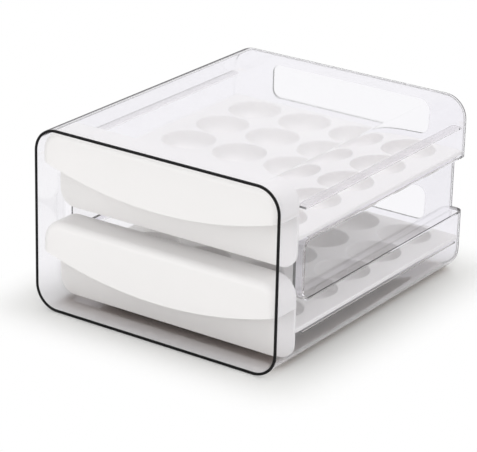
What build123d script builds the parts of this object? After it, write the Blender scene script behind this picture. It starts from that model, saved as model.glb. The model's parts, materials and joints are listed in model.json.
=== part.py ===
from build123d import *
import os

os.makedirs("parts", exist_ok=True)

# Clear case, millimetres
case_width = 250.8
case_depth = 300.0
case_height = 166.4
case_corner = 22.4
case_wall = 2.0
rear_rounding = 8.0

# Black line around the mouth of the case
trim_width = 2.4
trim_depth = 1.2
trim_inset = 0.1

# Clearances
slide_gap = 0.3
side_gap = 1.6
front_side_gap = 1.9
top_gap = 1.3
tier_gap = 1.0
rear_gap = 3.0

# Each tier, heights above its own floor, and how far the lower floor is above the table
floor_lift = 0.7
runner_height = 30.2
ledge_height = 58.0
deck_height = 34.0
front_foot = 5.0

# Long hollow in each side of the case
recess_depth = 9.4
recess_start = 39.0
recess_corner = 8.0

# Rails inside the case
runner_depth = 5.2
runner_thickness = 1.5
rail_depth = 8.4
rail_thickness = 1.8
rail_rounding = 3.0
rail_rear_gap = 10.0

# Windows in the rear wall, heights above the floor of each tier
window_width = 168.0
window_low = 38.0
window_high = 70.0
window_corner = 8.0

# Drawer front
front_setback = 4.0
front_depth = 28.2
front_wall = 2.2
front_top_corner = 19.0
front_foot_corner = 15.0
front_edge_rounding = 7.0
grip_centre_height = 33.6
grip_end_height = 53.0

# Egg tray
deck_wall = 2.0
rim_width = 2.5
flange_wall = 2.0
flange_foot = 12.0
flange_head = 52.0
flange_side_gap = 12.0
cup_wall = 1.4
cup_web = 0.4
cup_side_gap = 4.0
cup_radius = 24.0
cup_collar = 2.5
cup_waist_radius = 20.0
cup_waist_height = 21.5
cup_floor_radius = 12.0
cup_floor_height = 17.0

# Places that follow from the sizes above
front_y = -case_depth / 2
back_y = case_depth / 2
case_front_y = front_y + trim_depth
half_width = case_width / 2
inner_half_width = half_width - case_wall
tier_pitch = (case_height - trim_width - top_gap - floor_lift + tier_gap) / 2
lower_floor = floor_lift
upper_floor = floor_lift + tier_pitch
tier_floors = {"lower": lower_floor, "upper": upper_floor}
recess_low = lower_floor + ledge_height
recess_high = upper_floor + runner_height - case_wall
face_y = front_y + front_setback
front_back_y = face_y + front_depth
tray_back_y = back_y - case_wall - rear_gap
tray_half_width = inner_half_width - side_gap
cells_width = case_width - 2 * (recess_depth + case_wall + cup_side_gap)
cells_front_y = front_back_y + flange_wall
cells_back_y = tray_back_y - flange_wall
cup_pitch = 2 * (cup_radius + cup_wall) + cup_web
columns = int(cells_width // cup_pitch)
rows = int((cells_back_y - cells_front_y) // cup_pitch)
cell_width = cells_width / columns
cell_depth = (cells_back_y - cells_front_y) / rows


def save(piece, name):
    """Name a finished piece and write it."""
    piece.part.label = name
    export_step(piece.part, f"parts/{name}.step")


def upright_plane(y):
    """A plane across the box at depth y, seen from the front, that extrudes backwards with a minus."""
    return Plane.XZ.offset(-y)


def side_recess(side, inset):
    """What the long hollow takes off one side of the case, drawn in by inset."""
    floor_x = half_width - recess_depth - inset
    start = front_y + recess_start - inset
    back = back_y - inset
    low = recess_low - inset
    high = recess_high + inset
    rounding = rear_rounding - inset
    with BuildPart() as recess:
        with BuildSketch(Plane.YZ.offset(side * (floor_x - rounding))) as opening:
            with BuildLine():
                beyond = back_y + case_wall
                Polyline((beyond, low), (start, low), (start, high), (beyond, high), close=True)
            make_face()
            fillet(opening.vertices().group_by(Axis.X)[0], radius=recess_corner + inset)
        extrude(amount=side * (rounding + recess_depth + 2 * case_wall))
        with BuildSketch(Plane.XY.offset(low)) as kept:
            with Locations((0, (front_y + back) / 2)):
                Rectangle(2 * floor_x, back - front_y)
            fillet(kept.vertices().group_by(Axis.Y)[-1], radius=rounding)
        extrude(amount=high - low, mode=Mode.SUBTRACT)
    return recess


def case_form(inset):
    """The closed outer form of the case, drawn in by inset on every side but the front."""
    half = half_width - inset
    top = case_height - inset
    back = back_y - inset
    with BuildPart() as form:
        with BuildSketch(upright_plane(case_front_y)):
            with Locations((0, (top + inset) / 2)):
                RectangleRounded(2 * half, top - inset, case_corner - inset)
        extrude(amount=-(back - case_front_y))
        fillet(form.faces().sort_by(Axis.Y)[-1].edges(), radius=rear_rounding - inset)
        for side in (1, -1):
            add(side_recess(side, inset).part, mode=Mode.SUBTRACT)
    return form


def side_rail(side, low, thickness, depth, y_start, y_end):
    """A flat rail along the inside of one side wall, with its free corners rounded."""
    centre_x = side * (inner_half_width - depth / 2)
    with BuildPart() as rail:
        with BuildSketch(Plane((centre_x, (y_start + y_end) / 2, low))) as outline:
            Rectangle(depth, y_end - y_start)
            free = outline.vertices().group_by(Axis.X)[0 if side > 0 else -1]
            fillet(free, radius=rail_rounding)
        extrude(amount=thickness)
    return rail


outer = case_form(0.0)
inner = case_form(case_wall)
rail_start = front_y + recess_start
rail_end = back_y - case_wall - rail_rear_gap
runner_low = lower_floor + runner_height - runner_thickness
rail_low = upper_floor + ledge_height - rail_thickness

with BuildPart() as case:
    add(outer.part)
    add(inner.part, mode=Mode.SUBTRACT)
    for side in (1, -1):
        add(side_rail(side, runner_low, runner_thickness, runner_depth, rail_start, rail_end).part)
        add(side_rail(side, rail_low, rail_thickness, rail_depth, rail_start, rail_end).part)
    for floor in tier_floors.values():
        with BuildSketch(upright_plane(back_y - 2 * case_wall)):
            with Locations((0, floor + (window_low + window_high) / 2)):
                RectangleRounded(window_width, window_high - window_low, window_corner)
        extrude(amount=-3 * case_wall, mode=Mode.SUBTRACT)
save(case, "case")

with BuildPart() as rim_trim:
    with BuildSketch(upright_plane(front_y)):
        with Locations((0, case_height / 2)):
            outer_drop = 2 * trim_inset
            inner_drop = 2 * trim_width
            RectangleRounded(case_width - outer_drop, case_height - outer_drop, case_corner - trim_inset)
            RectangleRounded(case_width - inner_drop, case_height - inner_drop, case_corner - trim_width,
                             mode=Mode.SUBTRACT)
    extrude(amount=-trim_depth)
save(rim_trim, "rim_trim")


def hood_form(inset, low, high, back):
    """A block as wide as the drawer front, drawn in by inset, with round corners and a soft front outline."""
    half = inner_half_width - front_side_gap - inset
    with BuildPart() as block:
        with BuildSketch(upright_plane(back)):
            with Locations((0, (low + high - inset) / 2)):
                Rectangle(2 * half, high - inset - low)
        extrude(amount=back - face_y - inset)
        fillet(block.edges().filter_by(Axis.Y).group_by(Axis.Z)[-1], radius=front_top_corner - inset)
        fillet(block.edges().filter_by(Axis.Y).group_by(Axis.Z)[0], radius=front_foot_corner)
        fillet(block.faces().sort_by(Axis.Y)[0].edges(), radius=front_edge_rounding - inset)
    return block


def drawer_front(name, floor):
    """A hood with a curved lower lip in front of an upright wall, open below for the fingers."""
    half = inner_half_width - front_side_gap
    low = floor + front_foot
    high = floor + tier_pitch - tier_gap
    wall_y = front_back_y - front_wall
    lip_centre = floor + grip_centre_height
    lip_end = floor + grip_end_height
    with BuildPart() as front:
        add(hood_form(0.0, low, high, front_back_y).part)
        add(hood_form(front_wall, low - front_foot_corner, high, wall_y).part, mode=Mode.SUBTRACT)
        with BuildSketch(upright_plane(wall_y)):
            with BuildLine():
                ThreePointArc((-half, lip_end), (0, lip_centre), (half, lip_end))
                Polyline((half, lip_end), (half + 1, lip_end), (half + 1, low - 1), (-half - 1, low - 1),
                         (-half - 1, lip_end), (-half, lip_end))
            make_face()
        extrude(amount=front_depth, mode=Mode.SUBTRACT)
    save(front, name)


def tray_rim(name, floor):
    """The frame around the cups: two side flanges on the runners, a front flange and a rear bar."""
    deck_top = floor + deck_height
    rim_low = floor + runner_height + slide_gap
    middle_y = (front_back_y + tray_back_y) / 2
    cells_y = (cells_front_y + cells_back_y) / 2
    with BuildPart() as rim:
        with BuildSketch(Plane((0, middle_y, rim_low))):
            Rectangle(2 * tray_half_width, tray_back_y - front_back_y)
        extrude(amount=deck_top - rim_low)
        with BuildSketch(Plane((0, middle_y, rim_low))):
            Rectangle(2 * (tray_half_width - rim_width), tray_back_y - front_back_y - 2 * flange_wall)
        extrude(amount=deck_top - deck_wall - rim_low, mode=Mode.SUBTRACT)
        with BuildSketch(Plane((0, cells_y, rim_low))):
            Rectangle(cells_width, cells_back_y - cells_front_y)
        extrude(amount=deck_top - rim_low, mode=Mode.SUBTRACT)
        with BuildSketch(upright_plane(front_back_y)):
            with Locations((0, floor + (flange_foot + flange_head) / 2)):
                Rectangle(2 * (tray_half_width - flange_side_gap), flange_head - flange_foot)
        extrude(amount=-flange_wall)
    save(rim, name)


def bowl_profile(deck_top, floor, wall):
    """Half of a bowl's section from the deck down to its flat bottom, drawn out by wall."""
    spring = deck_top - cup_collar
    waist = floor + cup_waist_height - wall / 2
    bottom = floor + cup_floor_height - wall
    with BuildLine() as profile:
        Polyline((0, deck_top), (cup_radius + wall, deck_top), (cup_radius + wall, spring),
                 (cup_waist_radius + wall, waist), (cup_floor_radius + wall, bottom), (0, bottom), close=True)
    return profile.line


def egg_cup(name, x, y, floor):
    """One square of the deck with its round cup, which narrows in two steps to a flat bottom."""
    deck_top = floor + deck_height
    upright = Plane((x, y, 0), x_dir=(1, 0, 0), z_dir=(0, -1, 0))
    cup_axis = Axis((x, y, 0), (0, 0, 1))
    with BuildPart() as cup:
        with BuildSketch(Plane((x, y, deck_top - deck_wall))):
            Rectangle(cell_width, cell_depth)
        extrude(amount=deck_wall)
        with BuildSketch(upright):
            add(bowl_profile(deck_top, floor, cup_wall))
            make_face()
        revolve(axis=cup_axis)
        with BuildSketch(upright):
            add(bowl_profile(deck_top, floor, 0.0))
            make_face()
        revolve(axis=cup_axis, mode=Mode.SUBTRACT)
    save(cup, name)


for tier, floor in tier_floors.items():
    drawer_front(f"{tier}_front", floor)
    tray_rim(f"{tier}_tray", floor)
    for row in range(rows):
        for column in range(columns):
            cup_x = (column - (columns - 1) / 2) * cell_width
            cup_y = cells_front_y + (row + 0.5) * cell_depth
            egg_cup(f"{tier}_cup_{row + 1}_{column + 1}", cup_x, cup_y, floor)

print(f"tier pitch {tier_pitch:.1f}, {columns} x {rows} cups of {cell_width:.2f} x {cell_depth:.2f}")
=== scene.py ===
import json
import math

import bmesh
import bpy
import numpy as np
from bpy.props import FloatProperty, FloatVectorProperty, IntProperty, PointerProperty
from bpy.types import Operator, Panel, PropertyGroup
from mathutils import Matrix, Vector

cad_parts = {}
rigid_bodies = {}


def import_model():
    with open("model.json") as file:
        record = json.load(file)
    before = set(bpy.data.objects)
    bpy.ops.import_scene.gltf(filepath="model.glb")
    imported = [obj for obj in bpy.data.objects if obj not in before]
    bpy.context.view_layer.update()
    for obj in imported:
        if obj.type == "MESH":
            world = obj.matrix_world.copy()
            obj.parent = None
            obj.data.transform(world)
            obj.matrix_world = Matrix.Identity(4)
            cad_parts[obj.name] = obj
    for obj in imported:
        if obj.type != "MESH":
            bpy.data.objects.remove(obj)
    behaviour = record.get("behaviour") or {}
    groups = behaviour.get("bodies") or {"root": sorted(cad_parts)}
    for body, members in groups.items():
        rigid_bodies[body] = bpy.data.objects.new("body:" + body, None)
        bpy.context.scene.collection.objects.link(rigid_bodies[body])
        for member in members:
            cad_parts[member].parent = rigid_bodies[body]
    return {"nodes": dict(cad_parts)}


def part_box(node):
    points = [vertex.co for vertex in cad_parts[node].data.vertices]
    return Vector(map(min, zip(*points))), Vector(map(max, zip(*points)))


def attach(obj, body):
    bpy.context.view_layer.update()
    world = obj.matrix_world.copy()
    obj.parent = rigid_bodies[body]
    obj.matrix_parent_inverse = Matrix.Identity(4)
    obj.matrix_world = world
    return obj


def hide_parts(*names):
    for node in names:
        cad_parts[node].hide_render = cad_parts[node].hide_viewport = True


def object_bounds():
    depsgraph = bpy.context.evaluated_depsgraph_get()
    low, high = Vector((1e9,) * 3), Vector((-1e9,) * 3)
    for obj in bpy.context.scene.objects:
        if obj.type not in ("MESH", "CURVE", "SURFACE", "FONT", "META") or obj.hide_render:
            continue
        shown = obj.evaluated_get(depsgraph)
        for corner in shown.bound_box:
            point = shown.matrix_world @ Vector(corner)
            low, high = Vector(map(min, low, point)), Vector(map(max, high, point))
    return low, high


bl_info = {
    "name": "Egg Storage Box",
    "version": (1, 0, 0),
    "blender": (4, 5, 0),
    "location": "View3D > Sidebar > Egg Box",
    "description": "Dresses the two-drawer egg storage box: clear case, black rim line, white drawers",
    "category": "Object",
}

for leftover in list(bpy.data.objects):
    bpy.data.objects.remove(leftover)

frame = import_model()
CAD_BOX = [list(corner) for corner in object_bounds()]
MOUTH_Y = CAD_BOX[0][1]
SIDE_X, BACK_Y, TOP_Z = CAD_BOX[1]
TIERS = ("lower", "upper")
COLUMNS = 4
ROWS = 5

# All sizes and places are in metres

# The front plate of a tray: how much narrower it is on each side, how far it stands behind the front of
# the tray's rim, the radius of its corners, and its rings of points as shares of its outline
PLATE_SIDE_GAP = 0.012
PLATE_SET_BACK = 0.0002
PLATE_CORNER = 0.004
PLATE_RINGS = (1.0, 0.9, 0.5, 0.0)

# The deck of a tray: the flat ring round the rounding of each cup, and where the deck is flat again
# behind its outer rounding, as a share of that rounding
CUP_BORDER = 0.00012
MARGIN_SHARE = 1.4

# The power of sine and cosine in the section of a cup and of the mouth line: 1 is an ellipse, less is
# fuller
CUP_FULLNESS = 0.7
LINE_FULLNESS = 0.35

# How many points stand along a small rounding, from a cup's mouth to its bottom, on a corner of a front
# plate, on a corner of the mouth line and round the section of that line
ROUNDING_POINTS = 5
BOWL_POINTS = 16
PLATE_CORNER_POINTS = 8
LINE_CORNER_POINTS = 14
LINE_SECTION_POINTS = 16

# The rounded edge of a tray as a share of its wall, and the faces across a rounded edge of each piece
TRAY_EDGE_SHARE = 0.25
TRAY_SEGMENTS = 2
CASE_SEGMENTS = 2
FRONT_SEGMENTS = 3

# Edges that turn by more than this many degrees are rounded
SHARP_ANGLE = 35.0

# Points this close to each other are one: in a made mesh and in a CAD node
WELD_DISTANCE = 0.000005
NODE_WELD_DISTANCE = 0.00001

# The upper rails of the case: how far from the middle and how high they lie
RAIL_ASIDE = (SIDE_X - 0.0109, SIDE_X - 0.0016)
RAIL_HEIGHT = (TOP_Z - 0.0283, TOP_Z - 0.0259)

# A rounding of the case gets painted shade, a dark see-through colour, from the first to the second of
# these, with 1 seen square on and 0 seen edge on, and the roundings to its rear wall darken sooner, by this
# share. The blend is the one at which a Layer Weight node gives how squarely a surface is seen, with no
# curve.
EDGE_ON = (0.435, 0.218)
REAR_EDGE_ON = (0.75, 0.42)
REAR_SHARE = 0.8
PLAIN_BLEND = 0.5

# Where the upper roundings of the case begin: from the middle outwards and upwards
CORNER_ASIDE = (SIDE_X - 0.0219, SIDE_X - 0.0194)
CORNER_HEIGHT = (TOP_Z - 0.0219, TOP_Z - 0.0194)

# Where the roundings to its rear wall begin: backwards, from the middle outwards and upwards
REAR_DEPTH = (BACK_Y - 0.0082, BACK_Y - 0.0062)
REAR_ASIDE = (SIDE_X - 0.0179, SIDE_X - 0.0159)
REAR_HEIGHT = (TOP_Z - 0.0099, TOP_Z - 0.0074)

# The bottom plate of the case lies below this height, and the painted shade that it lays on the floor under
# the box grows to its full strength between these depths
BOTTOM_HEIGHT = 0.006
BOTTOM_START = (MOUTH_Y, MOUTH_Y + 0.035)

# The fine height and the clouding of a moulded surface: scales, share of the ripple and detail of each
# noise, and the span in which the values of the clouding lie
GRAIN_SCALE = 900.0
RIPPLE_SCALE = 26.0
RIPPLE_SHARE = 0.7
CLOUDING_SCALE = 14.0
NOISE_DETAIL = {"grain": 2.0, "ripple": 1.0, "clouding": 4.0}
CLOUDING_SPAN = (0.3, 0.7)

# How the clouding changes the colour and the roughness of each finish
WHITE_CLOUDING = (0.985, 1.01)
WHITE_ROUGHNESS = (0.3, 0.4)
LINE_ROUGHNESS = (0.25, 0.4)
RIM_CLOUDING = (1.0, 1.5)

# The roughness of the clear walls, of the frosted rails and of the narrow edges
CLEAR_ROUGHNESS = 0.02
RAIL_ROUGHNESS = 0.15
RIM_ROUGHNESS = 0.05

# How strongly each plastic bends light, and how much the mouth line mirrors
WHITE_IOR = 1.49
CLEAR_IOR = 1.5
LINE_SPECULAR = 0.15

# Strength and height of the bump of each finish
WHITE_BUMP = (0.12, 0.0002)
LINE_BUMP = (0.1, 0.0001)
CLEAR_BUMP = (0.05, 0.0002)

# The floor: half its side, and its height, a little below the clear bottom that stands flat on it. Its
# shadow fades between these distances from the footprint of the box.
FLOOR_HALF = 6.0
FLOOR_HEIGHT = -0.0002
SHADOW_REACH = (0.0, 0.065)
FOOTPRINT = (SIDE_X, BACK_Y, TOP_Z)

# The light of the white world on the pieces, which the eye sees at full white
WORLD_LIGHT = 0.73

# The lamps: name, place, width of the disk and power in watts. All aim at the middle of the box.
LAMP_AIM = (0.0, 0.0, 0.08)
LAMPS = (
    ("top_lamp", (-0.1, 0.1, 1.9), 1.5, 8.0),
    ("front_lamp", (-0.5, -1.5, 0.28), 0.9, 3.0),
    ("high_lamp", (0.2, -1.5, 0.95), 1.0, 1.8),
    ("side_lamp", (1.0, 0.1, 1.5), 1.0, 3.0),
)

# The camera: place, angles in degrees, and lens and sensor in millimetres
CAMERA_PLACE = (1.098619, -1.623245, 0.839918)
CAMERA_AZIMUTH = 34.506
CAMERA_ELEVATION = 21.746
CAMERA_ROLL = 1.367
CAMERA_LENS = 181.11
CAMERA_SENSOR = 36.0
CAMERA_CLIP = (0.05, 30.0)


# Sizes and colours

class EggBoxSizes(PropertyGroup):
    """Sizes of the finish, in metres."""

    case_edge: FloatProperty(
        name="Case edge rounding",
        description="Rounding of the moulded edges of the clear case",
        default=0.0009, min=0.0001, max=0.00095, subtype="DISTANCE", unit="LENGTH")
    front_edge: FloatProperty(
        name="Drawer lip rounding",
        description="Rounding of the lip and the other edges of a drawer front",
        default=0.0009, min=0.0001, max=0.002, subtype="DISTANCE", unit="LENGTH")
    cup_edge: FloatProperty(
        name="Cup edge rounding",
        description="Rounding between the deck of a tray and a cup",
        default=0.0012, min=0.0002, max=0.0018, subtype="DISTANCE", unit="LENGTH")
    tray_wall: FloatProperty(
        name="Tray wall",
        description="Wall thickness of the egg tray",
        default=0.0014, min=0.0008, max=0.002, subtype="DISTANCE", unit="LENGTH")
    cup_radius: FloatProperty(
        name="Cup radius",
        description="Radius of a cup at its mouth",
        default=0.024, min=0.02, max=0.0245, subtype="DISTANCE", unit="LENGTH")
    cup_depth: FloatProperty(
        name="Cup depth",
        description="Depth of a cup under the deck of its tray",
        default=0.017, min=0.01, max=0.02, subtype="DISTANCE", unit="LENGTH")
    skirt_height: FloatProperty(
        name="Skirt height",
        description="Height of the skirt round the deck of a tray, which slides on the runners",
        default=0.0035, min=0.002, max=0.0035, subtype="DISTANCE", unit="LENGTH")
    tray_corner: FloatProperty(
        name="Tray corner",
        description="Corner radius of a tray, seen from above",
        default=0.002, min=0.0005, max=0.01, subtype="DISTANCE", unit="LENGTH")
    line_width: FloatProperty(
        name="Line width",
        description="Width of the black line round the mouth, seen from the front",
        default=0.0023, min=0.001, max=0.004, subtype="DISTANCE", unit="LENGTH")
    line_corner: FloatProperty(
        name="Line corner",
        description="Outer corner radius of the black line",
        default=0.0223, min=0.01, max=0.03, subtype="DISTANCE", unit="LENGTH")
    cup_points: IntProperty(
        name="Points on a side",
        description="Points along one side of the square round a cup",
        default=12, min=6, max=24)


class EggBoxColours(PropertyGroup):
    """Colours of the finish and of the stage."""

    white: FloatVectorProperty(
        name="Drawer white", description="Colour of the drawers",
        default=(0.9, 0.884, 0.879), min=0.0, max=1.0, subtype="COLOR")
    clear: FloatVectorProperty(
        name="Clear tint", description="What the clear wall lets through",
        default=(0.935, 0.928, 0.955), min=0.0, max=1.0, subtype="COLOR")
    # Painted shade: a dark see-through colour put on roundings of the clear case where they are seen edge on
    painted_outline_shade: FloatVectorProperty(
        name="Painted clear edge shade", description="What a rounding of the clear case lets through, seen edge on",
        default=(0.45, 0.44, 0.45), min=0.0, max=1.0, subtype="COLOR")
    # Painted shade: a near-black see-through colour for the narrow rounded edges of the clear case
    painted_edge_line: FloatVectorProperty(
        name="Edge line", description="What the narrow rounded edges of the clear case let through",
        default=(0.09, 0.086, 0.09), min=0.0, max=1.0, subtype="COLOR")
    frosted: FloatVectorProperty(
        name="Frosted rail", description="What the frosted upper rails let through",
        default=(0.92, 0.9, 0.91), min=0.0, max=1.0, subtype="COLOR")
    wall_shade: FloatVectorProperty(
        name="Wall shade", description="What a wall of the case lets through to shaded places",
        default=(0.99, 0.99, 0.99), min=0.0, max=1.0, subtype="COLOR")
    # Painted shade: a darker, warmer colour that the bottom plate lets through, which darkens the floor under
    # the box
    painted_bottom_shade: FloatVectorProperty(
        name="Bottom shade", description="What the bottom plate lets through to the floor under the box",
        default=(0.63, 0.585, 0.56), min=0.0, max=1.0, subtype="COLOR")
    line: FloatVectorProperty(
        name="Rim line", description="Colour of the line round the mouth",
        default=(0.003, 0.003, 0.0035), min=0.0, max=1.0, subtype="COLOR")
    floor: FloatVectorProperty(
        name="Floor", description="Colour of the floor",
        default=(0.9, 0.9, 0.89), min=0.0, max=1.0, subtype="COLOR")


# Helpers for meshes

def add_mesh(name, points, faces, smooth=True):
    """A mesh object at the origin from an array of points and an array of faces."""
    mesh = bpy.data.meshes.new(name)
    mesh.from_pydata(points.tolist(), [], faces.tolist())
    mesh.polygons.foreach_set("use_smooth", np.full(len(mesh.polygons), smooth))
    mesh.update()
    piece = bpy.data.objects.new(name, mesh)
    bpy.context.scene.collection.objects.link(piece)
    return piece


def ring_faces(rings, columns):
    """Quads between rings of points, each ring closed round its columns."""
    i, j = np.meshgrid(np.arange(rings - 1), np.arange(columns), indexing="ij")
    k = (j + 1) % columns
    quads = np.stack((i * columns + j, i * columns + k, (i + 1) * columns + k, (i + 1) * columns + j), -1)
    return quads.reshape(-1, 4)


def add_rings(name, grids):
    """One mesh of several grids of rings by points, with the points that lie on each other merged."""
    faces = []
    start = 0
    for grid in grids:
        faces.append(ring_faces(*grid.shape[:2]) + start)
        start += grid.shape[0] * grid.shape[1]
    piece = add_mesh(name, np.concatenate([grid.reshape(-1, 3) for grid in grids]), np.concatenate(faces))
    work = bmesh.new()
    work.from_mesh(piece.data)
    bmesh.ops.remove_doubles(work, verts=work.verts, dist=WELD_DISTANCE)
    work.to_mesh(piece.data)
    work.free()
    piece.data.update()
    return piece


def round_edges(piece, width, segments, edge_slot=-1):
    """Rounds the sharp edges of a piece and weights its normals; edge_slot is the rounded faces' material."""
    bevel = piece.modifiers.new("Edges", "BEVEL")
    bevel.width = width
    bevel.segments = segments
    bevel.limit_method = "ANGLE"
    bevel.angle_limit = math.radians(SHARP_ANGLE)
    bevel.material = edge_slot
    normals = piece.modifiers.new("Normals", "WEIGHTED_NORMAL")
    normals.keep_sharp = False
    piece.data.polygons.foreach_set("use_smooth", np.ones(len(piece.data.polygons), bool))


def soften_node(node, width, segments, edge_slot=-1):
    """Gives a CAD node merged points, small rounded edges and weighted normals, by modifiers alone."""
    merge = node.modifiers.new("Merge", "WELD")
    merge.merge_threshold = NODE_WELD_DISTANCE
    round_edges(node, width, segments, edge_slot)


# Helpers for shader nodes

def calculate(tree, operation, *values):
    """The result of one Math node on sockets and plain numbers."""
    node = tree.nodes.new("ShaderNodeMath")
    node.operation = operation
    for socket, value in zip(node.inputs, values):
        if isinstance(value, bpy.types.NodeSocket):
            tree.links.new(value, socket)
        else:
            socket.default_value = value
    return node.outputs["Value"]


def spread(tree, source, taken, given, kind="LINEAR"):
    """Turns a value between the two of taken into one between the two of given."""
    node = tree.nodes.new("ShaderNodeMapRange")
    node.interpolation_type = kind
    for name, value in zip(("From Min", "From Max", "To Min", "To Max"), (*taken, *given)):
        node.inputs[name].default_value = value
    tree.links.new(source, node.inputs["Value"])
    return node.outputs["Result"]


def soft_step(tree, source, limits, most=1.0):
    """A mask that rises softly from 0 to most as the source goes from the first limit to the second."""
    return spread(tree, source, limits, (0.0, most), "SMOOTHSTEP")


def blend_colours(tree, mask, first, second):
    """The first colour where a mask is 0 and the second where it is 1."""
    mix = tree.nodes.new("ShaderNodeMix")
    mix.data_type = "RGBA"
    mix.inputs["A"].default_value = (*first, 1.0)
    mix.inputs["B"].default_value = (*second, 1.0)
    tree.links.new(mask, mix.inputs["Factor"])
    return mix.outputs["Result"]


def blend_shaders(tree, mask, first, second):
    """The first shader where a mask is 0 and the second where it is 1."""
    mix = tree.nodes.new("ShaderNodeMixShader")
    for socket, source in zip(mix.inputs, (mask, first, second)):
        tree.links.new(source, socket)
    return mix.outputs["Shader"]


def object_place(tree):
    """The X, Y and Z outputs of a point's place on its object."""
    place = tree.nodes.new("ShaderNodeTexCoord")
    parts = tree.nodes.new("ShaderNodeSeparateXYZ")
    tree.links.new(place.outputs["Object"], parts.inputs["Vector"])
    return parts.outputs


def by_ray(tree, unseen, seen):
    """The value seen for camera, glossy and transmitted rays, and the value unseen for all others."""
    path = tree.nodes.new("ShaderNodeLightPath").outputs
    mirrored = calculate(tree, "MAXIMUM", path["Is Camera Ray"], path["Is Glossy Ray"])
    looking = calculate(tree, "MAXIMUM", mirrored, path["Is Transmission Ray"])
    return spread(tree, looking, (0.0, 1.0), (unseen, seen))


# Masks of the clear case

def rail_mask(tree):
    """A mask that is 1 on the two upper rails, by their distance from the middle and their height."""
    place = object_place(tree)
    near = []
    for value, (low, high) in ((calculate(tree, "ABSOLUTE", place["X"]), RAIL_ASIDE),
                               (place["Z"], RAIL_HEIGHT)):
        near.append(calculate(tree, "COMPARE", value, (low + high) / 2, (high - low) / 2))
    return calculate(tree, "MULTIPLY", *near)


def painted_bottom_mask(tree):
    """A mask of painted shade under the box: 0 above the bottom plate, rising to 1 on it from its front edge
    backwards.
    """
    place = object_place(tree)
    below = calculate(tree, "LESS_THAN", place["Z"], BOTTOM_HEIGHT)
    return calculate(tree, "MULTIPLY", below, soft_step(tree, place["Y"], BOTTOM_START))


def edge_on_mask(tree, axis, limits, most=1.0):
    """A mask for painted shade that rises to most where a rounding along an axis is seen edge on.

    How squarely the surface is seen is divided by how squarely the axis is seen from its side, so that
    a view along the axis doesn't put painted shade on the whole rounding.
    """
    direction = tree.nodes.new("ShaderNodeCombineXYZ")
    for socket, value in zip(direction.inputs, axis):
        socket.default_value = value
    surface = tree.nodes.new("ShaderNodeLayerWeight")
    along = tree.nodes.new("ShaderNodeLayerWeight")
    for weight in (surface, along):
        weight.inputs["Blend"].default_value = PLAIN_BLEND
    tree.links.new(direction.outputs["Vector"], along.inputs["Normal"])
    share = calculate(tree, "SUBTRACT", 1.0, along.outputs["Facing"])
    squared = calculate(tree, "MULTIPLY", share, share)
    across = calculate(tree, "SQRT", calculate(tree, "SUBTRACT", 1.0, squared))
    square_on = calculate(tree, "SUBTRACT", 1.0, surface.outputs["Facing"])
    return soft_step(tree, calculate(tree, "DIVIDE", square_on, across), limits, most)


def painted_outline_mask(tree):
    """A mask of painted shade: the upper and rear roundings where they are seen edge on."""
    place = object_place(tree)
    aside = calculate(tree, "ABSOLUTE", place["X"])
    corner = calculate(tree, "MULTIPLY", soft_step(tree, aside, CORNER_ASIDE),
                       soft_step(tree, place["Z"], CORNER_HEIGHT))
    upper = calculate(tree, "MULTIPLY", corner, edge_on_mask(tree, (0.0, 1.0, 0.0), EDGE_ON))
    rear_side = calculate(tree, "MULTIPLY", soft_step(tree, aside, REAR_ASIDE),
                          edge_on_mask(tree, (0.0, 0.0, 1.0), REAR_EDGE_ON, REAR_SHARE))
    rear_top = calculate(tree, "MULTIPLY", soft_step(tree, place["Z"], REAR_HEIGHT),
                         edge_on_mask(tree, (1.0, 0.0, 0.0), REAR_EDGE_ON, REAR_SHARE))
    rear = calculate(tree, "MULTIPLY", calculate(tree, "MAXIMUM", rear_side, rear_top),
                     soft_step(tree, place["Y"], REAR_DEPTH))
    return calculate(tree, "MAXIMUM", upper, rear)


# Finishes

def surface_group():
    """A group for moulded plastic: fine height for a bump, of grain and ripple, and faint clouding."""
    name = "Moulded surface"
    if name in bpy.data.node_groups:
        return bpy.data.node_groups[name]
    group = bpy.data.node_groups.new(name, "ShaderNodeTree")
    for label, value in (("Grain scale", GRAIN_SCALE), ("Ripple scale", RIPPLE_SCALE),
                         ("Ripple share", RIPPLE_SHARE)):
        socket = group.interface.new_socket(name=label, in_out="INPUT", socket_type="NodeSocketFloat")
        socket.default_value = value
    for label in ("Height", "Clouding"):
        group.interface.new_socket(name=label, in_out="OUTPUT", socket_type="NodeSocketFloat")
    entry = group.nodes.new("NodeGroupInput")
    leave = group.nodes.new("NodeGroupOutput")
    place = group.nodes.new("ShaderNodeTexCoord")
    noise = {}
    for label, detail in NOISE_DETAIL.items():
        noise[label] = group.nodes.new("ShaderNodeTexNoise")
        noise[label].inputs["Detail"].default_value = detail
        group.links.new(place.outputs["Object"], noise[label].inputs["Vector"])
    noise["clouding"].inputs["Scale"].default_value = CLOUDING_SCALE
    mix = group.nodes.new("ShaderNodeMix")
    mix.data_type = "FLOAT"
    group.links.new(entry.outputs["Grain scale"], noise["grain"].inputs["Scale"])
    group.links.new(entry.outputs["Ripple scale"], noise["ripple"].inputs["Scale"])
    group.links.new(entry.outputs["Ripple share"], mix.inputs["Factor"])
    group.links.new(noise["grain"].outputs["Fac"], mix.inputs["A"])
    group.links.new(noise["ripple"].outputs["Fac"], mix.inputs["B"])
    group.links.new(mix.outputs["Result"], leave.inputs["Height"])
    group.links.new(noise["clouding"].outputs["Fac"], leave.inputs["Clouding"])
    return group


def new_material(name, bump):
    """A material, its Principled shader with the fine height as its bump, and the mask of its clouding."""
    material = bpy.data.materials.new(name)
    material.use_nodes = True
    tree = material.node_tree
    shader = tree.nodes["Principled BSDF"]
    surface = tree.nodes.new("ShaderNodeGroup")
    surface.node_tree = surface_group()
    relief = tree.nodes.new("ShaderNodeBump")
    relief.inputs["Strength"].default_value, relief.inputs["Distance"].default_value = bump
    tree.links.new(surface.outputs["Height"], relief.inputs["Height"])
    tree.links.new(relief.outputs["Normal"], shader.inputs["Normal"])
    return material, shader, surface.outputs["Clouding"]


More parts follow.
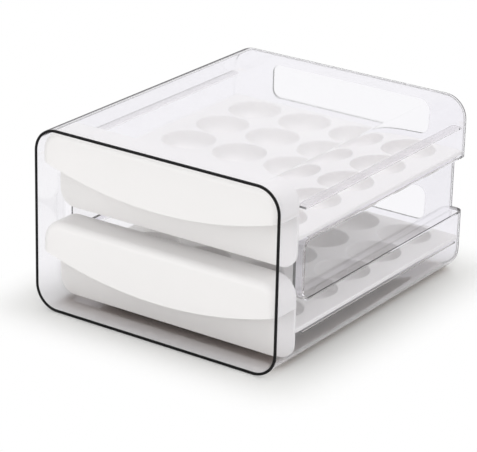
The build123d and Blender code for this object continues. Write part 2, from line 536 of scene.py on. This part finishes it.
def white_plastic(colours):
    """White drawer plastic: satin, faintly clouded, with the shallow ripple of a moulding."""
    material, shader, clouding = new_material("White plastic", WHITE_BUMP)
    tree = material.node_tree
    shades = [np.minimum(np.array(colours.white) * share, 1.0) for share in WHITE_CLOUDING]
    tree.links.new(blend_colours(tree, clouding, *shades), shader.inputs["Base Color"])
    tree.links.new(spread(tree, clouding, CLOUDING_SPAN, WHITE_ROUGHNESS), shader.inputs["Roughness"])
    shader.inputs["IOR"].default_value = WHITE_IOR
    return material


def black_line(colours):
    """The black line round the mouth."""
    material, shader, clouding = new_material("Black line", LINE_BUMP)
    tree = material.node_tree
    shader.inputs["Base Color"].default_value = (*colours.line, 1.0)
    shader.inputs["Specular IOR Level"].default_value = LINE_SPECULAR
    tree.links.new(spread(tree, clouding, CLOUDING_SPAN, LINE_ROUGHNESS), shader.inputs["Roughness"])
    return material


def let_lamps_through(material, clear, colours):
    """Gives the material a clear shader, and a plain see-through one for shadow and diffuse rays, with
    painted shade below.
    """
    tree = material.node_tree
    path = tree.nodes.new("ShaderNodeLightPath").outputs
    unseen = calculate(tree, "MAXIMUM", path["Is Shadow Ray"], path["Is Diffuse Ray"])
    # Through the bottom plate, the see-through colour is painted shade that darkens the floor under the box
    shade = blend_colours(tree, painted_bottom_mask(tree), colours.wall_shade, colours.painted_bottom_shade)
    through = tree.nodes.new("ShaderNodeBsdfTransparent")
    tree.links.new(shade, through.inputs["Color"])
    tree.links.new(blend_shaders(tree, unseen, clear, through.outputs["BSDF"]),
                   tree.nodes["Material Output"].inputs["Surface"])


def clear_plastic(colours):
    """Clear moulded plastic, with painted shade as dark outlines at its roundings seen edge on, and frosted
    upper rails.
    """
    material, shader, _ = new_material("Clear plastic", CLEAR_BUMP)
    tree = material.node_tree
    rails = rail_mask(tree)
    tree.links.new(blend_colours(tree, rails, colours.clear, colours.frosted), shader.inputs["Base Color"])
    tree.links.new(spread(tree, rails, (0.0, 1.0), (CLEAR_ROUGHNESS, RAIL_ROUGHNESS)),
                   shader.inputs["Roughness"])
    shader.inputs["Transmission Weight"].default_value = 1.0
    shader.inputs["IOR"].default_value = CLEAR_IOR
    # Painted shade: a dark see-through shader on the roundings of the case where they are seen edge on
    dark = tree.nodes.new("ShaderNodeBsdfTransparent")
    dark.inputs["Color"].default_value = (*colours.painted_outline_shade, 1.0)
    outlined = blend_shaders(tree, painted_outline_mask(tree), shader.outputs["BSDF"], dark.outputs["BSDF"])
    let_lamps_through(material, outlined, colours)
    return material


def painted_rim_line(colours):
    """Painted shade on the narrow rounded edges of the clear case: a near-black see-through colour stands in
    for the dark their bending of the view shows.
    """
    material, shader, clouding = new_material("Painted clear edge shade", CLEAR_BUMP)
    tree = material.node_tree
    shades = [np.array(colours.painted_edge_line) * share for share in RIM_CLOUDING]
    tree.links.new(blend_colours(tree, clouding, *shades), shader.inputs["Base Color"])
    shader.inputs["Transmission Weight"].default_value = 1.0
    shader.inputs["Roughness"].default_value = RIM_ROUGHNESS
    shader.inputs["IOR"].default_value = CLEAR_IOR
    let_lamps_through(material, shader.outputs["BSDF"], colours)
    return material


def finish_named(make, name):
    """The material of that name, made the first time that it is asked for."""
    return bpy.data.materials.get(name) or make(bpy.context.scene.egg_box_colours)


def dress(piece, *materials):
    """Gives a piece its materials."""
    piece.data.materials.clear()
    for material in materials:
        piece.data.materials.append(material)


# Surfaces

def square_ring(half_x, half_y, count):
    """Points round a rectangle, count to a side, from its lower right corner, against the clock."""
    step = np.arange(count) / count * 2.0 - 1.0
    right = np.stack((np.full(count, half_x), step * half_y), 1)
    top = np.stack((-step * half_x, np.full(count, half_y)), 1)
    return np.concatenate((right, top, -right, -top))


def cup_cell(centre, half_x, half_y, deck, radius, depth, edge, count):
    """Points of one cup with its square of deck: rings by points round it.

    The first ring is the rectangle. The next rings are circles on the same rays: a quarter round of
    radius edge turns the deck down into the cup, and then a superellipse runs down to the pole, with
    radius times cosine to the power CUP_FULLNESS and depth times sine to the same power.
    """
    border = square_ring(half_x, half_y, count)
    ray = border / np.linalg.norm(border, axis=1, keepdims=True)
    turn = np.linspace(0.0, math.pi / 2, ROUNDING_POINTS)
    down = np.linspace(0.0, math.pi / 2, BOWL_POINTS)[1:-1]
    bowl = depth - edge
    rings = np.concatenate((
        [[radius + edge + CUP_BORDER, deck]],
        np.stack((radius + edge * (1.0 - np.sin(turn)), deck - edge * (1.0 - np.cos(turn))), 1),
        np.stack((radius * np.cos(down) ** CUP_FULLNESS,
                  deck - edge - bowl * np.sin(down) ** CUP_FULLNESS), 1),
        [[0.0, deck - depth]]))
    flat = np.concatenate((border[None], rings[:, 0, None, None] * ray[None]))
    height = np.concatenate(([deck], rings[:, 1]))
    tall = np.broadcast_to(height[:, None, None], (len(height), len(border), 1))
    points = np.concatenate((flat, tall), -1)
    points[..., :2] += centre
    return points


def deck_margin(cells_low, cells_high, rim_low, rim_high, deck, skirt, edge, corner, count):
    """Points of the margin of a tray: loops by points, from the foot of the skirt up and in to the cups.

    Every loop has the points of the cups' outer rectangle, stretched to its own rectangle, whose
    corners are then rounded: a point past the straight sides moves onto a circle of radius corner. A
    quarter round of radius edge turns the skirt into the deck.
    """
    middle = (cells_low + cells_high) / 2
    half = (cells_high - cells_low) / 2
    across = np.linspace(-1.0, 1.0, COLUMNS * count + 1)[:-1]
    along = np.linspace(-1.0, 1.0, ROWS * count + 1)[:-1]
    front = np.stack((across, np.full(len(across), -1.0)), 1)
    right = np.stack((np.full(len(along), 1.0), along), 1)
    loop = np.concatenate((front, right, -front, -right))
    outer_middle = (rim_low + rim_high) / 2
    turn = np.linspace(0.0, math.pi / 2, ROUNDING_POINTS)
    insets = np.concatenate(([0.0], edge * (1.0 - np.cos(turn)), [edge * MARGIN_SHARE]))
    heights = np.concatenate(([deck - skirt], deck - edge * (1.0 - np.sin(turn)), [deck]))
    loops = []
    for inset, height in zip(insets, heights):
        outer_half = (rim_high - rim_low) / 2 - inset
        straight = outer_half - corner
        place = loop * outer_half
        core = np.clip(place, -straight, straight)
        reach = place - core
        rounded = core + corner * reach / np.linalg.norm(reach, axis=1, keepdims=True)
        loops.append(np.concatenate((outer_middle + rounded, np.full((len(loop), 1), height)), 1))
    loops.append(np.concatenate((middle + loop * half, np.full((len(loop), 1), deck)), 1))
    return np.array(loops)


def rounded_ring(half_x, half_z, centre_z, radius, count):
    """Points round an upright rounded rectangle, with count points on each quarter, as x and z."""
    quarter = np.linspace(0.0, math.pi / 2, count)
    corners = []
    for k, (side, upper) in enumerate(((1, 1), (-1, 1), (-1, -1), (1, -1))):
        angle = quarter + k * math.pi / 2
        corners.append(np.stack((side * (half_x - radius) + radius * np.cos(angle),
                                 centre_z + upper * (half_z - radius) + radius * np.sin(angle)), 1))
    return np.concatenate(corners)


def upright_plate(half_x, low_z, high_z, y, corner):
    """Points of a plate that faces forwards: rounded rectangles, each a share of the first, to its middle."""
    middle = np.array((0.0, (low_z + high_z) / 2))
    ring = rounded_ring(half_x, (high_z - low_z) / 2, middle[1], corner, PLATE_CORNER_POINTS)
    flat = middle + (ring - middle) * np.array(PLATE_RINGS)[:, None, None]
    return np.stack((flat[..., 0], np.full(flat.shape[:2], y), flat[..., 1]), -1)


def mouth_ring(low, high, width, corner):
    """Points of the line round the mouth: the points of its section by a rounded rectangle each.

    The section is a superellipse, with half the width times cosine and half the depth times sine, each
    to the power LINE_FULLNESS. It is carried round the rounded rectangle.
    """
    angle = (0.5 - np.arange(LINE_SECTION_POINTS)) * 2 * math.pi / LINE_SECTION_POINTS
    across = np.sign(np.cos(angle)) * np.abs(np.cos(angle)) ** LINE_FULLNESS * width / 2
    along = np.sign(np.sin(angle)) * np.abs(np.sin(angle)) ** LINE_FULLNESS * (high.y - low.y) / 2
    half_x = (high.x - low.x - width) / 2
    half_z = (high.z - low.z - width) / 2
    loops = []
    for out, back in zip(across, along):
        ring = rounded_ring(half_x + out, half_z + out, (low.z + high.z) / 2, corner - width / 2 + out,
                            LINE_CORNER_POINTS)
        loops.append(np.stack((ring[:, 0], np.full(len(ring), (low.y + high.y) / 2 + back), ring[:, 1]), 1))
    return np.array((*loops, loops[0]))


# Pieces

class EGGBOX_OT_case(Operator):
    """Dress the clear case"""

    bl_idname = "eggbox.case"
    bl_label = "Clear case"

    def execute(self, context):
        node = frame["nodes"]["case"]
        # The rounded edges of the case take the second material, whose near-black colour is painted shade
        soften_node(node, context.scene.egg_box_sizes.case_edge, CASE_SEGMENTS, 1)
        dress(node, finish_named(clear_plastic, "Clear plastic"), finish_named(painted_rim_line, "Painted clear edge shade"))
        return {"FINISHED"}


class EGGBOX_OT_rim(Operator):
    """Make the black line round the mouth"""

    bl_idname = "eggbox.rim"
    bl_label = "Rim line"

    def execute(self, context):
        sizes = context.scene.egg_box_sizes
        piece = add_rings("mouth_line", [mouth_ring(*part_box("rim_trim"), sizes.line_width,
                                                    sizes.line_corner)])
        dress(piece, finish_named(black_line, "Black line"))
        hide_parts("rim_trim")
        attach(piece, "case")
        return {"FINISHED"}


class EGGBOX_OT_fronts(Operator):
    """Dress the two drawer fronts"""

    bl_idname = "eggbox.fronts"
    bl_label = "Drawer fronts"

    def execute(self, context):
        for tier in TIERS:
            node = frame["nodes"][f"{tier}_front"]
            soften_node(node, context.scene.egg_box_sizes.front_edge, FRONT_SEGMENTS)
            dress(node, finish_named(white_plastic, "White plastic"))
        return {"FINISHED"}


class EGGBOX_OT_trays(Operator):
    """Make the two egg trays, each with twenty cups"""

    bl_idname = "eggbox.trays"
    bl_label = "Egg trays"

    def execute(self, context):
        sizes = context.scene.egg_box_sizes
        for tier in TIERS:
            cups = [f"{tier}_cup_{row + 1}_{column + 1}" for row in range(ROWS) for column in range(COLUMNS)]
            rim_low, rim_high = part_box(f"{tier}_tray")
            first_low, first_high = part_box(cups[0])
            last_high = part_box(cups[-1])[1]
            deck = first_high.z
            half_x = (first_high.x - first_low.x) / 2
            half_y = (first_high.y - first_low.y) / 2
            grids = []
            for cup in cups:
                low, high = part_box(cup)
                grids.append(cup_cell((low.xy + high.xy) / 2, half_x, half_y, deck, sizes.cup_radius,
                                      sizes.cup_depth, sizes.cup_edge, sizes.cup_points))
            grids.append(deck_margin(
                np.array(first_low.xy), np.array(last_high.xy), np.array(rim_low.xy), np.array(rim_high.xy),
                deck, sizes.skirt_height, sizes.cup_edge, sizes.tray_corner, sizes.cup_points))
            grids.append(upright_plate(rim_high.x - PLATE_SIDE_GAP, rim_low.z, rim_high.z,
                                       rim_low.y + PLATE_SET_BACK, PLATE_CORNER))
            piece = add_rings(f"{tier}_egg_tray", grids)
            wall = piece.modifiers.new("Wall", "SOLIDIFY")
            wall.thickness = sizes.tray_wall
            wall.offset = -1.0
            round_edges(piece, sizes.tray_wall * TRAY_EDGE_SHARE, TRAY_SEGMENTS)
            dress(piece, finish_named(white_plastic, "White plastic"))
            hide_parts(f"{tier}_tray", *cups)
            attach(piece, f"{tier}_drawer")
        return {"FINISHED"}


class EGGBOX_OT_stage(Operator):
    """Make the floor, the world, the lamps and the camera"""

    bl_idname = "eggbox.stage"
    bl_label = "Stage"

    def execute(self, context):
        scene = context.scene
        self.floor(scene)
        self.world(scene)
        self.lamps(scene)
        self.camera(scene)
        scene.view_settings.view_transform = "Standard"
        return {"FINISHED"}

    def floor(self, scene):
        """A wide floor that keeps the shadow near the box and shows plain white further away."""
        corners = square_ring(FLOOR_HALF, FLOOR_HALF, 1)
        points = np.concatenate((corners, np.full((4, 1), FLOOR_HEIGHT)), 1)
        floor = add_mesh("floor", points, np.array([[0, 1, 2, 3]]), False)
        material = bpy.data.materials.new("Floor")
        material.use_nodes = True
        tree = material.node_tree
        tree.nodes.remove(tree.nodes["Principled BSDF"])
        paint = tree.nodes.new("ShaderNodeBsdfDiffuse")
        paint.inputs["Color"].default_value = (*scene.egg_box_colours.floor, 1.0)
        white = tree.nodes.new("ShaderNodeEmission")
        far = soft_step(tree, self.distance_from_box(tree), SHADOW_REACH)
        mask = calculate(tree, "MULTIPLY", far, by_ray(tree, 0.0, 1.0))
        tree.links.new(blend_shaders(tree, mask, paint.outputs["BSDF"], white.outputs["Emission"]),
                       tree.nodes["Material Output"].inputs["Surface"])
        dress(floor, material)

    def distance_from_box(self, tree):
        """How far a point of the floor lies outside the footprint, whose half sizes are FOOTPRINT."""
        source = tree.nodes.new("ShaderNodeTexCoord").outputs["Object"]
        origin = (0.0, 0.0, 0.0)
        for operation, second, result in (("ABSOLUTE", origin, "Vector"), ("SUBTRACT", FOOTPRINT, "Vector"),
                                          ("MAXIMUM", origin, "Vector"), ("LENGTH", origin, "Value")):
            step = tree.nodes.new("ShaderNodeVectorMath")
            step.operation = operation
            step.inputs[1].default_value = second
            tree.links.new(source, step.inputs[0])
            source = step.outputs[result]
        return source

    def world(self, scene):
        """A plain white world that shows white to the eye and lights more softly."""
        world = bpy.data.worlds.new("Studio")
        scene.world = world
        world.use_nodes = True
        tree = world.node_tree
        back = tree.nodes["Background"]
        back.inputs["Color"].default_value = (1.0, 1.0, 1.0, 1.0)
        tree.links.new(by_ray(tree, WORLD_LIGHT, 1.0), back.inputs["Strength"])

    def lamps(self, scene):
        """Four large soft lamps: above, low in front, high in front and to the right of the box."""
        for name, place, size, power in LAMPS:
            data = bpy.data.lights.new(name, "AREA")
            data.shape = "DISK"
            data.size = size
            data.energy = power
            lamp = bpy.data.objects.new(name, data)
            scene.collection.objects.link(lamp)
            lamp.location = place
            lamp.rotation_mode = "QUATERNION"
            lamp.rotation_quaternion = (Vector(LAMP_AIM) - Vector(place)).to_track_quat("-Z", "Y")

    def camera(self, scene):
        """A long lens at the photograph's viewing angle, turned a little about its own axis."""
        azimuth = math.radians(CAMERA_AZIMUTH)
        elevation = math.radians(CAMERA_ELEVATION)
        roll = math.radians(CAMERA_ROLL)
        ahead = Vector((-math.sin(azimuth) * math.cos(elevation),
                        math.cos(azimuth) * math.cos(elevation), -math.sin(elevation)))
        level = Vector((math.cos(azimuth), math.sin(azimuth), 0.0))
        above = level.cross(ahead)
        right = level * math.cos(roll) + above * math.sin(roll)
        up = above * math.cos(roll) - level * math.sin(roll)
        data = bpy.data.cameras.new("camera")
        data.lens = CAMERA_LENS
        data.sensor_width = CAMERA_SENSOR
        data.sensor_fit = "HORIZONTAL"
        data.clip_start, data.clip_end = CAMERA_CLIP
        camera = bpy.data.objects.new("camera", data)
        scene.collection.objects.link(camera)
        turn = Matrix((right, up, -ahead)).transposed().to_4x4()
        camera.matrix_world = Matrix.Translation(CAMERA_PLACE) @ turn
        scene.camera = camera


class EGGBOX_PT_panel(Panel):
    """Sizes, colours and pieces of the egg box."""

    bl_idname = "EGGBOX_PT_panel"
    bl_label = "Egg Storage Box"
    bl_space_type = "VIEW_3D"
    bl_region_type = "UI"
    bl_category = "Egg Box"

    def draw(self, context):
        layout = self.layout
        for group in (context.scene.egg_box_sizes, context.scene.egg_box_colours):
            box = layout.box()
            for name in group.__annotations__:
                box.prop(group, name)
        for operator in OPERATORS:
            layout.operator(operator.bl_idname)


OPERATORS = (EGGBOX_OT_case, EGGBOX_OT_rim, EGGBOX_OT_fronts, EGGBOX_OT_trays, EGGBOX_OT_stage)
CLASSES = (EggBoxSizes, EggBoxColours, *OPERATORS, EGGBOX_PT_panel)


def register():
    for item in CLASSES:
        bpy.utils.register_class(item)
    bpy.types.Scene.egg_box_sizes = PointerProperty(type=EggBoxSizes)
    bpy.types.Scene.egg_box_colours = PointerProperty(type=EggBoxColours)


def unregister():
    del bpy.types.Scene.egg_box_colours
    del bpy.types.Scene.egg_box_sizes
    for item in reversed(CLASSES):
        bpy.utils.unregister_class(item)


def main():
    register()
    bpy.ops.eggbox.case()
    bpy.ops.eggbox.rim()
    bpy.ops.eggbox.fronts()
    bpy.ops.eggbox.trays()
    bpy.ops.eggbox.stage()


if __name__ == "__main__":
    main()
